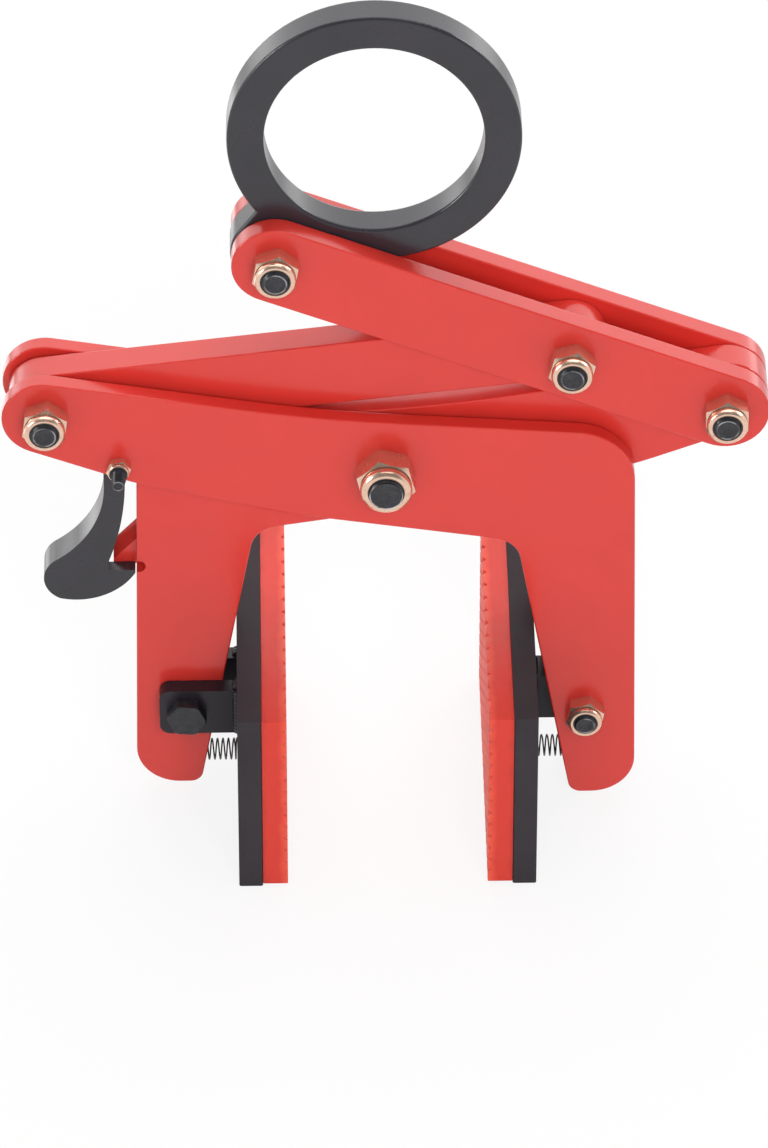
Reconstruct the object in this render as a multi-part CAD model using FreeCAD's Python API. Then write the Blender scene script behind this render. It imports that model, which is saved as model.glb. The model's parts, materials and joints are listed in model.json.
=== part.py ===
import FreeCAD, Part
import math
import os

# Scissor lifting tongs for slabs, in millimetres.
# X runs across the jaws, +Z is up and the nuts of the pivots face -Y.
# The origin is on the floor, under the centre bolt and midway through the depth.
# Positions named reach, rise, drop and offset are measured from the centre bolt.

Vector = FreeCAD.Vector

# Layers through the depth
middle_thickness = 15.0        # lifting ring, toggle link, left jaw and latch hook
upper_plate_thickness = 10.0
upper_slot = 16.0
jaw_plate_thickness = 8.0
jaw_slot = 20.0

# Pivots
arm_reach = 153.0              # centre bolt to the bolt at the end of each jaw arm
arm_rise = 32.0
upper_arm_length = 218.6       # ring bolt to arm bolt
upper_arm_slope = 22.5         # degrees, down to the right
link_bolt_distance = 75.8      # arm bolt to link bolt, along the upper arm
ring_stand_off = 75.0          # ring bolt to the ring's centre
ring_lean = 36.0               # degrees from upright, to the right
pad_bolt_reach = 92.0
pad_bolt_drop = 141.0
latch_bolt_reach = 120.5
latch_bolt_rise = 4.5

# Outline of a jaw, drawn for the jaw whose leg is on the right
arm_end_radius = 19.5
beam_bend_reach = 30.0
beam_bend_rise = 30.0
beam_bend_radius = 700.0
shoulder_reach = 112.3
shoulder_rise = 19.4
shoulder_radius = 28.0
foot_outer_reach = 116.0
foot_inner_reach = 85.9
foot_drop = 190.0
foot_outer_radius = 20.0
foot_inner_radius = 6.0
crotch_reach = 59.6
crotch_drop = 40.6
crotch_radius = 14.0
underside_bend_reach = 40.0
underside_bend_drop = 24.2
underside_bend_radius = 250.0
waist_reach = 112.0
waist_drop = 5.5
waist_radius = 150.0
plate_edge_radius = 0.8

# Bars
upper_arm_end_radius = 19.5
link_end_radius = 16.5

# Lifting ring
ring_outer_radius = 65.0
ring_inner_radius = 48.5
ring_tab_radius = 20.0
ring_edge_radius = 1.5

# Catch tooth and notch on the left jaw's leg
tooth_root_drop = 44.9         # these are at the tooth's front face
tooth_tip_drop = 62.2
tooth_under_drop = 64.6
tooth_reach = 124.3
tooth_rise = 5.5               # its rear face is higher than its front face
notch_drop = 58.0
notch_height = 6.4
notch_depth = 4.2
nose_depth = 6.4               # the hook's nose is only in front, and the tooth passes behind it
lap_gap = 0.6

# Latch hook, measured from its bolt
hook_eye_radius = 8.0
hook_stem_back = 7.2
hook_stem_front = 2.4
hook_stem_drop = 18.0
hook_flank_reach = 13.4
hook_flank_drop = 43.5
hook_crown_reach = 29.5
hook_crown_drop = 61.2
hook_back_reach = 35.7
hook_back_drop = 71.5
hook_heel_reach = 28.6
hook_heel_drop = 83.7
hook_belly_reach = 10.2
hook_belly_drop = 82.9
hook_nose_reach = 6.2
hook_nose_drop = 67.7
hook_nose_tip = 1.6
hook_throat_reach = 6.0
hook_throat_drop = 62.9
hook_bow_reach = 0.1
hook_bow_drop = 40.5

# Pads
pad_depth = 150.0
pad_height = 98.0
pad_bolt_height = 55.5         # pad's lower edge to its bolt
pad_plate_thickness = 11.0
pad_plate_edge_radius = 1.0
rubber_thickness = 11.5
rubber_foot_gap = 1.2          # rubber ends above the plate's lower edge
pad_back_reach = 68.5          # back face of each pad plate
rib_pitch = 7.0
rib_groove_depth = 1.2
rib_groove_width = 2.4
lug_height = 25.0
lug_overhang = 12.5            # past the pad bolt
lug_corner_radius = 5.0
ear_thickness = 8.0
ear_side_gap = 0.5
tongue_thickness = 15.0

# Pad springs
spring_drop = 35.5             # below the pad bolt
spring_outer_diameter = 10.6
spring_wire = 1.2
spring_turns = 5
spring_pocket_diameter = 12.6
spring_pocket_wall = 7.5       # leg edge to the pocket's floor, at the spring's axis
spring_end_gap = 0.3
seat_height = 16.0
seat_length = 10.0

# Fits
pivot_clearance = 0.05         # on the radius of every bolt
open_pivot_clearance = 1.0     # on the radius of the link's hole at the upper arm
thread_clearance = 0.05
washer_thickness = (jaw_slot - middle_thickness) / 2
washer_width = 7.0
bolt_tip_share = 0.15          # of the thread diameter, for the chamfer of the tip
nut_chamfer = 1.0
insert_ring_width = 1.2
insert_recess = 0.4
bolt_tip_past_nut = 1.2
latch_bolt_past_nut = 8.0
cut_overrun = 5.0

# Thread diameter, width across flats, nut height, head height and nut collar diameter
thread_sizes = {
    "M6": {"diameter": 6.0, "flats": 10.0, "nut": 6.0, "head": 4.0, "collar": 9.2},
    "M10": {"diameter": 10.0, "flats": 16.0, "nut": 10.0, "head": 6.4, "collar": 14.4},
    "M12": {"diameter": 12.0, "flats": 19.0, "nut": 12.0, "head": 7.5, "collar": 17.6},
    "M16": {"diameter": 16.0, "flats": 24.0, "nut": 16.0, "head": 10.0, "collar": 22.0},
}
nut_hex_share = 0.66           # of the nut's height that is hexagonal
insert_share = 0.26            # of the nut's height that holds the insert

# Degrees that the hexagons of each pivot are turned, from a corner pointing along X
hex_turns = {
    "centre": 44.0,
    "left_arm": 22.0,
    "right_arm": 30.0,
    "ring": 20.0,
    "link": 16.0,
    "latch": 10.0,
    "left_pad": 55.0,
    "right_pad": 17.0,
}

# Places worked out from the sizes above
centre_height = pad_bolt_drop + pad_bolt_height
upper_outer = upper_slot / 2 + upper_plate_thickness
jaw_outer = jaw_slot / 2 + jaw_plate_thickness
middle_front = -middle_thickness / 2
slope = math.radians(upper_arm_slope)
lean = math.radians(ring_lean)
spring_radius = (spring_outer_diameter - spring_wire) / 2
through_depth = pad_depth

CENTRE = (0, centre_height)
LEFT_ARM = (-arm_reach, centre_height + arm_rise)
RIGHT_ARM = (arm_reach, centre_height + arm_rise)
LINK_BOLT = (
    arm_reach - link_bolt_distance * math.cos(slope),
    centre_height + arm_rise + link_bolt_distance * math.sin(slope),
)
RING_BOLT = (
    arm_reach - upper_arm_length * math.cos(slope),
    centre_height + arm_rise + upper_arm_length * math.sin(slope),
)
RING_CENTRE = (
    RING_BOLT[0] + ring_stand_off * math.sin(lean),
    RING_BOLT[1] + ring_stand_off * math.cos(lean),
)
LATCH_BOLT = (-latch_bolt_reach, centre_height + latch_bolt_rise)
LEFT_PAD_BOLT = (-pad_bolt_reach, pad_bolt_height)
RIGHT_PAD_BOLT = (pad_bolt_reach, pad_bolt_height)
SPRING_HEIGHT = pad_bolt_height - spring_drop


def at(x, z, y=0):
    """A point in the upright plane of the plates, at depth y."""
    return Vector(x, y, z)


def line(start, end):
    return Part.LineSegment(start, end).toShape()


def arc(start, middle, end):
    return Part.Arc(start, middle, end).toShape()


def tangent_point(outside, centre, radius, side):
    """Where a line from an outside point touches a circle, on its left (1) or right (-1)."""
    across = outside[0] - centre[0]
    up = outside[1] - centre[1]
    distance = math.hypot(across, up)
    angle = math.atan2(up, across) + side * math.acos(radius / distance)
    return at(centre[0] + radius * math.cos(angle), centre[1] + radius * math.sin(angle))


def rounded_path(start, corners, end):
    """Edges from start to end, along straight lines that meet in rounded corners (x, z, radius)."""
    stops = [start] + [at(x, z) for x, z, radius in corners] + [end]
    edges = []
    here = start
    for index, (x, z, radius) in enumerate(corners):
        corner = stops[index + 1]
        back = (stops[index] - corner).normalize()
        ahead = (stops[index + 2] - corner).normalize()
        half_angle = back.getAngle(ahead) / 2
        run = radius / math.tan(half_angle)
        to_centre = (back + ahead).normalize()
        middle = corner + to_centre * (radius / math.sin(half_angle) - radius)
        edges.append(line(here, corner + back * run))
        here = corner + ahead * run
        edges.append(arc(corner + back * run, middle, here))
    edges.append(line(here, end))
    return edges


def plate(edges, front, thickness, rise=0):
    """A flat plate: an outline in the upright plane, from its front face towards +Y, where it may rise."""
    face = Part.Face(Part.Wire(edges))
    face.translate(at(0, 0, front))
    return face.extrude(at(0, rise, thickness))


def soften(solid, radius):
    """Round the long edges of a plate's front and rear faces."""
    box = solid.BoundBox
    rims = []
    for edge in solid.Edges:
        reach = edge.BoundBox
        on_front = reach.YMax < box.Center.y - radius
        on_rear = reach.YMin > box.Center.y + radius
        if reach.YLength < radius and (on_front or on_rear):
            rims.append(edge)
    return solid.makeFillet(radius, rims)


def rod(place, diameter, front, rear):
    """A round bar along the depth, at a pivot."""
    return Part.makeCylinder(diameter / 2, rear - front, at(place[0], place[1], front), Vector(0, 1, 0))


def drilled(solid, place, diameter, clearance):
    return solid.cut(rod(place, diameter + 2 * clearance, -through_depth, through_depth))


def bar_outline(first, second, radius):
    """A straight bar with round ends about two pivots."""
    along = (at(*second) - at(*first)).normalize()
    side = Vector(-along.z, 0, along.x) * radius
    a = at(*first)
    b = at(*second)
    return [
        line(a + side, b + side),
        arc(b + side, b + along * radius, b - side),
        line(b - side, a - side),
        arc(a - side, a - along * radius, a + side),
    ]


def thread_hole(solid, place, size, clearance=pivot_clearance):
    return drilled(solid, place, thread_sizes[size]["diameter"], clearance)


def jaw_outline():
    """Arm on the left, leg on the right, round the centre bolt."""
    level = centre_height
    bend = (-beam_bend_reach, level + beam_bend_rise)
    waist = (-waist_reach, level - waist_drop)
    top = tangent_point(bend, LEFT_ARM, arm_end_radius, 1)
    bottom = tangent_point(waist, LEFT_ARM, arm_end_radius, -1)
    corners = [
        (bend[0], bend[1], beam_bend_radius),
        (shoulder_reach, level + shoulder_rise, shoulder_radius),
        (foot_outer_reach, level - foot_drop, foot_outer_radius),
        (foot_inner_reach, level - foot_drop, foot_inner_radius),
        (crotch_reach, level - crotch_drop, crotch_radius),
        (-underside_bend_reach, level - underside_bend_drop, underside_bend_radius),
        (waist[0], waist[1], waist_radius),
    ]
    end_angle = math.atan2(LEFT_ARM[1] - centre_height, LEFT_ARM[0])
    tip = at(LEFT_ARM[0], LEFT_ARM[1]) + at(math.cos(end_angle), math.sin(end_angle)) * arm_end_radius
    return rounded_path(top, corners, bottom) + [arc(bottom, tip, top)]


def right_jaw_plate(front):
    solid = soften(plate(jaw_outline(), front, jaw_plate_thickness), plate_edge_radius)
    for place, size in ((CENTRE, "M16"), (LEFT_ARM, "M12"), (LATCH_BOLT, "M6"), (RIGHT_PAD_BOLT, "M10")):
        solid = thread_hole(solid, place, size)
    return solid


def leg_edge(z, inner):
    """How far a leg's inner or outer edge is from the middle at height z."""
    upper_reach = crotch_reach if inner else shoulder_reach
    upper_z = centre_height + (-crotch_drop if inner else shoulder_rise)
    lower_reach = foot_inner_reach if inner else foot_outer_reach
    lower_z = centre_height - foot_drop
    share = (upper_z - z) / (upper_z - lower_z)
    return upper_reach + share * (lower_reach - upper_reach)


def left_jaw_plate():
    """The mirrored jaw, one thick plate, with the catch tooth, notch and spring pocket."""
    solid = plate(jaw_outline(), middle_front, middle_thickness)
    solid = solid.mirror(Vector(0, 0, 0), Vector(1, 0, 0))
    solid = soften(solid, plate_edge_radius)
    notch_round = notch_height / 2
    notch_middle = centre_height - notch_drop - notch_round
    edge = leg_edge(notch_middle, False)
    notch_end = (-edge + notch_depth - notch_round, notch_middle)
    notch_mouth = (-edge - cut_overrun, notch_middle)
    notch = plate(bar_outline(notch_end, notch_mouth, notch_round), -through_depth, 2 * through_depth)
    solid = solid.cut(notch).fuse(catch_tooth(-edge + cut_overrun)).removeSplitter()
    for place, size in ((CENTRE, "M16"), (RIGHT_ARM, "M12"), (LEFT_PAD_BOLT, "M10")):
        solid = thread_hole(solid, place, size)
    return solid.cut(spring_pocket())


def catch_tooth(inside):
    """A tooth that starts behind the hook's nose and rises to the rear; it is rooted at x = inside."""
    root = at(inside, centre_height - tooth_root_drop)
    tip = at(-tooth_reach, centre_height - tooth_tip_drop)
    heel = at(-tooth_reach, centre_height - tooth_under_drop)
    heel_root = at(inside, centre_height - tooth_under_drop)
    edges = [line(root, tip), line(tip, heel), line(heel, heel_root), line(heel_root, root)]
    set_back = nose_depth + lap_gap
    return plate(edges, middle_front + set_back, middle_thickness - set_back, tooth_rise)


def spring_pocket():
    """A blind round pocket in the left leg's inner edge."""
    return Part.makeCylinder(
        spring_pocket_diameter / 2,
        spring_seat_reach() - pad_back_reach,
        at(-pad_back_reach, SPRING_HEIGHT),
        Vector(-1, 0, 0),
    )


def spring_seat_reach():
    """Where the leg end of each spring is seated."""
    return leg_edge(SPRING_HEIGHT, True) + spring_pocket_wall


def upper_arm_plate(front):
    outline = bar_outline(RING_BOLT, RIGHT_ARM, upper_arm_end_radius)
    solid = soften(plate(outline, front, upper_plate_thickness), plate_edge_radius)
    for place in (RING_BOLT, LINK_BOLT, RIGHT_ARM):
        solid = thread_hole(solid, place, "M12")
    return solid


def toggle_link():
    outline = bar_outline(LEFT_ARM, LINK_BOLT, link_end_radius)
    solid = soften(plate(outline, middle_front, middle_thickness), plate_edge_radius)
    solid = thread_hole(solid, LEFT_ARM, "M12")
    return thread_hole(solid, LINK_BOLT, "M12", open_pivot_clearance)


def lifting_ring():
    """A flat ring, joined to a tab that is round about the ring bolt and ends in the ring's band."""
    band = rod(RING_CENTRE, 2 * ring_outer_radius, middle_front, -middle_front)
    band = band.cut(rod(RING_CENTRE, 2 * ring_inner_radius, middle_front, -middle_front))
    along = (at(*RING_CENTRE) - at(*RING_BOLT)).normalize()
    side = Vector(-along.z, 0, along.x) * ring_tab_radius
    start = at(*RING_BOLT)
    end = start + along * (ring_stand_off - (ring_outer_radius + ring_inner_radius) / 2)
    tab_edges = [
        line(start + side, end + side),
        line(end + side, end - side),
        line(end - side, start - side),
        arc(start - side, start - along * ring_tab_radius, start + side),
    ]
    tab = plate(tab_edges, middle_front, middle_thickness)
    solid = soften(band, ring_edge_radius).fuse(soften(tab, ring_edge_radius)).removeSplitter()
    return thread_hole(solid, RING_BOLT, "M12")


def latch_hook():
    """Eye, stem and hook; behind its thin nose there is room for the tooth."""
    x, z = LATCH_BOLT
    eye_back = at(x - hook_stem_back, z)
    eye_top = at(x, z + hook_eye_radius)
    eye_front = at(x + hook_eye_radius, z)
    stem_back = at(x - hook_stem_back, z - hook_stem_drop)
    crown = at(x - hook_crown_reach, z - hook_crown_drop)
    flank = at(x - hook_flank_reach, z - hook_flank_drop)
    back = at(x - hook_back_reach, z - hook_back_drop)
    heel = at(x - hook_heel_reach, z - hook_heel_drop)
    belly = at(x - hook_belly_reach, z - hook_belly_drop)
    nose_foot = at(x + hook_nose_reach, z - hook_nose_drop - hook_nose_tip)
    nose_top = at(x + hook_nose_reach, z - hook_nose_drop)
    throat_foot = at(x - hook_throat_reach, z - hook_nose_drop)
    throat = at(x - hook_throat_reach, z - hook_throat_drop)
    stem_front = at(x + hook_stem_front, z - hook_stem_drop)
    stem_bow = at(x + hook_bow_reach, z - hook_bow_drop)
    edges = [
        line(eye_back, stem_back),
        arc(stem_back, flank, crown),
        arc(crown, back, heel),
        arc(heel, belly, nose_foot),
        line(nose_foot, nose_top),
        line(nose_top, throat_foot),
        line(throat_foot, throat),
        arc(throat, stem_bow, stem_front),
        line(stem_front, eye_front),
        arc(eye_front, eye_top, eye_back),
    ]
    solid = plate(edges, middle_front, middle_thickness)
    lap_height = hook_heel_drop - hook_nose_drop
    lap = Part.makeBox(
        hook_nose_reach + hook_throat_reach + cut_overrun,
        middle_thickness,
        lap_height + 2 * cut_overrun,
        at(x - hook_throat_reach, z - hook_heel_drop - cut_overrun, middle_front + nose_depth),
    )
    return thread_hole(solid.cut(lap), LATCH_BOLT, "M6")


def mirrored(solid, side):
    """The same shape on the right (1) or the left (-1) of the tongs."""
    return solid if side > 0 else solid.mirror(Vector(0, 0, 0), Vector(1, 0, 0))


def pad_plate(side):
    box = Part.makeBox(
        pad_plate_thickness,
        pad_depth,
        pad_height,
        at(pad_back_reach - pad_plate_thickness, 0, -pad_depth / 2),
    )
    uprights = [edge for edge in box.Edges if edge.BoundBox.ZLength > pad_plate_thickness]
    return mirrored(box.makeFillet(pad_plate_edge_radius, uprights), side)


def pad_rubber(side):
    """A block of rubber with level grooves across its grip face."""
    grip = pad_back_reach - pad_plate_thickness - rubber_thickness
    height = pad_height - rubber_foot_gap
    block = Part.makeBox(rubber_thickness, pad_depth, height, at(grip, rubber_foot_gap, -pad_depth / 2))
    count = int(height // rib_pitch)
    first = rubber_foot_gap + (height - (count - 1) * rib_pitch) / 2
    grooves = []
    for index in range(count):
        level = first + index * rib_pitch
        low = at(grip, level - rib_groove_width / 2)
        high = at(grip, level + rib_groove_width / 2)
        floor = at(grip + rib_groove_depth, level)
        groove_edges = [line(low, floor), line(floor, high), line(high, low)]
        grooves.append(plate(groove_edges, -pad_depth / 2, pad_depth))
    return mirrored(block.cut(Part.makeCompound(grooves)), side)


def pad_lug(side, front, thickness):
    """A lug on the back of a pad plate, round the pad bolt."""
    lower = pad_bolt_height - lug_height / 2
    upper = pad_bolt_height + lug_height / 2
    outer = pad_bolt_reach + lug_overhang
    corners = [(outer, lower, lug_corner_radius), (outer, upper, lug_corner_radius)]
    start = at(pad_back_reach, lower)
    end = at(pad_back_reach, upper)
    solid = plate(rounded_path(start, corners, end) + [line(end, start)], front, thickness)
    return mirrored(thread_hole(solid, RIGHT_PAD_BOLT, "M10"), side)


def spring_seat():
    """A block between the right jaw plates, behind the spring."""
    return Part.makeBox(
        seat_length,
        jaw_slot,
        seat_height,
        at(spring_seat_reach(), SPRING_HEIGHT - seat_height / 2, -jaw_slot / 2),
    )


def tangent_arc(start, heading, end):
    """The arc that leaves start along heading and ends at end."""
    chord = end - start
    along = Vector(chord).normalize()
    bulge = heading - along * heading.dot(along)
    turn = heading.getAngle(chord)
    middle = (start + end) * (1 / 2) + bulge.normalize() * (chord.Length / 2 * math.tan(turn / 2))
    return arc(start, middle, end)


def biarc(start, start_heading, end, end_heading):
    """Two tangent arcs from one point and heading to another."""
    chord = end - start
    total = start_heading + end_heading
    spread = 2 * (1 - start_heading.dot(end_heading))
    lean_in = chord.dot(total)
    reach = (math.sqrt(lean_in ** 2 + spread * chord.dot(chord)) - lean_in) / spread
    joint = (start + start_heading * reach + end - end_heading * reach) * (1 / 2)
    second = tangent_arc(end, end_heading * -1, joint)
    return [tangent_arc(start, start_heading, joint), second]


def coil_stations(near, far):
    """Places and headings of a spring's quarter turns; each end turns into the spring's axis."""
    quarters = 4 * spring_turns
    advance = (far - near) / quarters
    climb = advance / (math.pi / 2)
    stations = []
    for index in range(quarters + 1):
        angle = index * math.pi / 2
        place = Vector(
            near + index * advance,
            spring_radius * math.cos(angle),
            SPRING_HEIGHT + spring_radius * math.sin(angle),
        )
        heading = Vector(climb, -spring_radius * math.sin(angle), spring_radius * math.cos(angle))
        stations.append((place, heading.normalize()))
    return stations


def pad_spring(side):
    """One unbroken wire: coils, then a quarter bend and a straight end, square to each seat."""
    bend_radius = 2 * spring_wire
    end_run = spring_wire + bend_radius
    near = pad_back_reach + spring_end_gap
    far = spring_seat_reach() - spring_end_gap
    stations = coil_stations(near + end_run, far - end_run)
    axis = Vector(1, 0, 0)
    first, first_heading = stations[0]
    last, last_heading = stations[-1]
    start_bend = Vector(near + spring_wire, first.y, first.z - bend_radius)
    end_bend = Vector(far - spring_wire, last.y, last.z + bend_radius)
    edges = [line(start_bend - axis * spring_wire, start_bend)]
    edges += biarc(start_bend, axis, first, first_heading)
    for (here, heading), (there, next_heading) in zip(stations, stations[1:]):
        edges += biarc(here, heading, there, next_heading)
    edges += biarc(last, last_heading, end_bend, axis)
    edges.append(line(end_bend, end_bend + axis * spring_wire))
    path = Part.Wire(Part.__sortEdges__(edges))
    section = Part.Wire(Part.makeCircle(spring_wire / 2, start_bend - axis * spring_wire, axis))
    sweep = Part.BRepOffsetAPI.MakePipeShell(path)
    sweep.add(section)
    sweep.build()
    sweep.makeSolid()
    solid = sweep.shape()
    report_coil(path, solid)
    return mirrored(solid, side)


def report_coil(path, solid):
    """Print a coil's least gap to itself, measured on points, and how its volume fits its length."""
    points_per_turn = 36
    points = path.discretize(Number=points_per_turn * (spring_turns + 1))
    apart = points_per_turn // 2
    count = len(points)
    pairs = [(first, second) for first in range(count) for second in range(first + apart, count)]
    least = min(points[first].distanceToPoint(points[second]) for first, second in pairs)
    share = solid.Volume / (math.pi * spring_wire ** 2 / 4 * path.Length)
    print("spring: gap to itself %.2f mm, volume over tube %.4f" % (least - spring_wire, share))


def hexagon(place, flats, front, height, turn):
    corner_radius = flats / math.sqrt(3)
    corners = []
    for index in range(6):
        angle = math.radians(turn) + index * math.pi / 3
        spoke = at(math.cos(angle), math.sin(angle)) * corner_radius
        corners.append(at(*place) + spoke)
    edges = [line(corners[index - 1], corners[index]) for index in range(6)]
    return plate(edges, front, height)


def chamfered_disc(place, diameter, front, height, chamfer):
    """A disc whose front rim is bevelled."""
    disc = rod(place, diameter, front, front + height)
    rim = [edge for edge in disc.Edges if edge.BoundBox.YMax < front + chamfer]
    return disc.makeChamfer(chamfer, rim)


def hex_blank(place, flats, front, height, turn):
    """A hexagon with its front corners bevelled."""
    across_corners = 2 * flats / math.sqrt(3)
    return hexagon(place, flats, front, height, turn).common(
        chamfered_disc(place, across_corners, front, height, nut_chamfer)
    )


def lock_nut(place, size, seat, turn):
    """A lock nut whose rear face is seated at depth seat, with a round collar in front."""
    sizes = thread_sizes[size]
    front = seat - sizes["nut"]
    hex_height = nut_hex_share * sizes["nut"]
    collar = chamfered_disc(place, sizes["collar"], front, sizes["nut"], nut_chamfer)
    hexagonal = hex_blank(place, sizes["flats"], seat - hex_height, hex_height, turn)
    solid = hexagonal.fuse(collar).removeSplitter()
    solid = drilled(solid, place, sizes["diameter"], thread_clearance)
    pocket = rod(
        place,
        sizes["diameter"] + 2 * (insert_ring_width + thread_clearance),
        front - cut_overrun,
        front + insert_share * sizes["nut"] + insert_recess,
    )
    return solid.cut(pocket)


def nut_insert(place, size, seat):
    """The dark ring in a lock nut's collar."""
    sizes = thread_sizes[size]
    front = seat - sizes["nut"] + insert_recess
    ring = rod(place, sizes["diameter"] + 2 * insert_ring_width, front, front + insert_share * sizes["nut"])
    return drilled(ring, place, sizes["diameter"], thread_clearance)


def hex_bolt(place, size, head_seat, nut_seat, turn, past_nut):
    """A bolt whose head is seated behind head_seat and whose tip stands in front of its nut."""
    sizes = thread_sizes[size]
    tip = nut_seat - sizes["nut"] - past_nut
    shank = chamfered_disc(place, sizes["diameter"], tip, head_seat - tip, bolt_tip_share * sizes["diameter"])
    head = hex_blank(place, sizes["flats"], -head_seat - sizes["head"], sizes["head"], turn)
    return shank.fuse(turned_round(head)).removeSplitter()


def turned_round(solid):
    """Front and rear exchanged."""
    return solid.mirror(Vector(0, 0, 0), Vector(0, 1, 0))


def spacer_pair(place, size, inner_half, outer_half):
    """Two flat washers, in front of and behind a middle piece."""
    diameter = thread_sizes[size]["diameter"]
    rear = rod(place, diameter + 2 * washer_width, inner_half, outer_half)
    rear = drilled(rear, place, diameter, thread_clearance)
    return Part.makeCompound([turned_round(rear), rear])


def pivot_set(name, place, size, half_depth, past_nut=bolt_tip_past_nut):
    """Bolt, nut and insert through a stack that reaches half_depth to the front and the rear."""
    turn = hex_turns[name]
    return {
        name + "_bolt": hex_bolt(place, size, half_depth, -half_depth, turn, past_nut),
        name + "_nut": lock_nut(place, size, -half_depth, turn),
        name + "_nut_insert": nut_insert(place, size, -half_depth),
    }


def build():
    ear_front = middle_thickness / 2 + ear_side_gap
    ear_outer = ear_front + ear_thickness
    left_pad_set = pivot_set("left_pad", LEFT_PAD_BOLT, "M10", ear_outer)
    nodes = {
        "lifting_ring": lifting_ring(),
        "upper_arm_front_plate": upper_arm_plate(-upper_outer),
        "upper_arm_rear_plate": upper_arm_plate(upper_slot / 2),
        "toggle_link": toggle_link(),
        "right_jaw_front_plate": right_jaw_plate(-jaw_outer),
        "right_jaw_rear_plate": right_jaw_plate(jaw_slot / 2),
        "left_jaw_plate": left_jaw_plate(),
        "latch_hook": latch_hook(),
        "left_pad_plate": pad_plate(-1),
        "right_pad_plate": pad_plate(1),
        "left_pad_rubber": pad_rubber(-1),
        "right_pad_rubber": pad_rubber(1),
        "left_pad_front_ear": pad_lug(-1, -ear_outer, ear_thickness),
        "left_pad_rear_ear": pad_lug(-1, ear_front, ear_thickness),
        "right_pad_tongue": pad_lug(1, -tongue_thickness / 2, tongue_thickness),
        "left_pad_spring": pad_spring(-1),
        "right_pad_spring": pad_spring(1),
        "right_spring_seat": spring_seat(),
        "centre_washers": spacer_pair(CENTRE, "M16", middle_thickness / 2, jaw_slot / 2),
        "left_arm_washers": spacer_pair(LEFT_ARM, "M12", middle_thickness / 2, jaw_slot / 2),
        "latch_washers": spacer_pair(LATCH_BOLT, "M6", middle_thickness / 2, jaw_slot / 2),
        "right_pad_washers": spacer_pair(RIGHT_PAD_BOLT, "M10", tongue_thickness / 2, jaw_slot / 2),
    }
    nodes.update(pivot_set("centre", CENTRE, "M16", jaw_outer))
    nodes.update(pivot_set("left_arm", LEFT_ARM, "M12", jaw_outer))
    nodes.update(pivot_set("latch", LATCH_BOLT, "M6", jaw_outer, latch_bolt_past_nut))
    nodes.update(pivot_set("right_pad", RIGHT_PAD_BOLT, "M10", jaw_outer))
    nodes.update(pivot_set("ring", RING_BOLT, "M12", upper_outer))
    nodes.update(pivot_set("link", LINK_BOLT, "M12", upper_outer))
    nodes.update(pivot_set("right_arm", RIGHT_ARM, "M12", upper_outer))
    nodes.update({name: turned_round(solid) for name, solid in left_pad_set.items()})
    return nodes


os.makedirs("parts", exist_ok=True)
for node, shape in build().items():
    if not shape.isValid():
        print("not valid:", node)
    shape.exportStep("parts/" + node + ".step")
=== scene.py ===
import json
import math

import bmesh
import bpy
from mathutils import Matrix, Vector


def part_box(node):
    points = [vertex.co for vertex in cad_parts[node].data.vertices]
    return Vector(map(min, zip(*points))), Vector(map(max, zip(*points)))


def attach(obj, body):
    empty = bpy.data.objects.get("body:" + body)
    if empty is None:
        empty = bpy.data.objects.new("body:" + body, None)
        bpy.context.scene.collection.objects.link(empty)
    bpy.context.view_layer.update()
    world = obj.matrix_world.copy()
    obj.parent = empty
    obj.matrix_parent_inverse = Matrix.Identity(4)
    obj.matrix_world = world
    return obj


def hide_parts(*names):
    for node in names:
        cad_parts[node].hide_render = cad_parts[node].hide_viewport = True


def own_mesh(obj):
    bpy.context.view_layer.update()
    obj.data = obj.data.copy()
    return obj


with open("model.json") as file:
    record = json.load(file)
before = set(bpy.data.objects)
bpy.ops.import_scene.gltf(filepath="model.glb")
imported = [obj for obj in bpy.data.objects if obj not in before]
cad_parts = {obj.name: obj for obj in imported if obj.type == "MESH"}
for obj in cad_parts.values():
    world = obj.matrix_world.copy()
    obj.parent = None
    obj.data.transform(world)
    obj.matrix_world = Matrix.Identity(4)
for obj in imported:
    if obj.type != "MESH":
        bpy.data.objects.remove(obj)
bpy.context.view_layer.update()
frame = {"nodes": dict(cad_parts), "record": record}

MM = 0.001
LEFT, RIGHT = -1, 1
SIDE_NAMES = {LEFT: "left", RIGHT: "right"}


# Objects and meshes

def body_of(node_name):
    """The body that a CAD node rides on."""
    for body, nodes in frame["record"]["behaviour"]["bodies"].items():
        if node_name in nodes:
            return body
    raise KeyError(node_name)


def add_object(name, data):
    made = bpy.data.objects.new(name, data)
    bpy.context.scene.collection.objects.link(made)
    return made


def point_along(thing, direction):
    """Turn a lamp or camera so that it looks along a direction."""
    thing.rotation_mode = "QUATERNION"
    thing.rotation_quaternion = direction.to_track_quat("-Z", "Y")


def piece_from(name, mesh_maker, body, replaced=()):
    """Make a new piece with a bmesh, and put it on its body."""
    mesh = bpy.data.meshes.new(name)
    shape = bmesh.new()
    mesh_maker(shape)
    bmesh.ops.recalc_face_normals(shape, faces=shape.faces)
    shape.to_mesh(mesh)
    shape.free()
    piece = add_object(name, mesh)
    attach(piece, body)
    if replaced:
        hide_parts(*replaced)
    return piece


def smooth_by_angle(piece, degrees):
    """Smooth shading, with edges sharper than the angle kept sharp."""
    for polygon in piece.data.polygons:
        polygon.use_smooth = True
    shape = bmesh.new()
    shape.from_mesh(piece.data)
    limit = math.radians(degrees)
    for edge in shape.edges:
        edge.smooth = len(edge.link_faces) == 2 and edge.calc_face_angle(0) < limit
    shape.to_mesh(piece.data)
    shape.free()


def ring_of(shape, points):
    return [shape.verts.new(point) for point in points]


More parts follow.
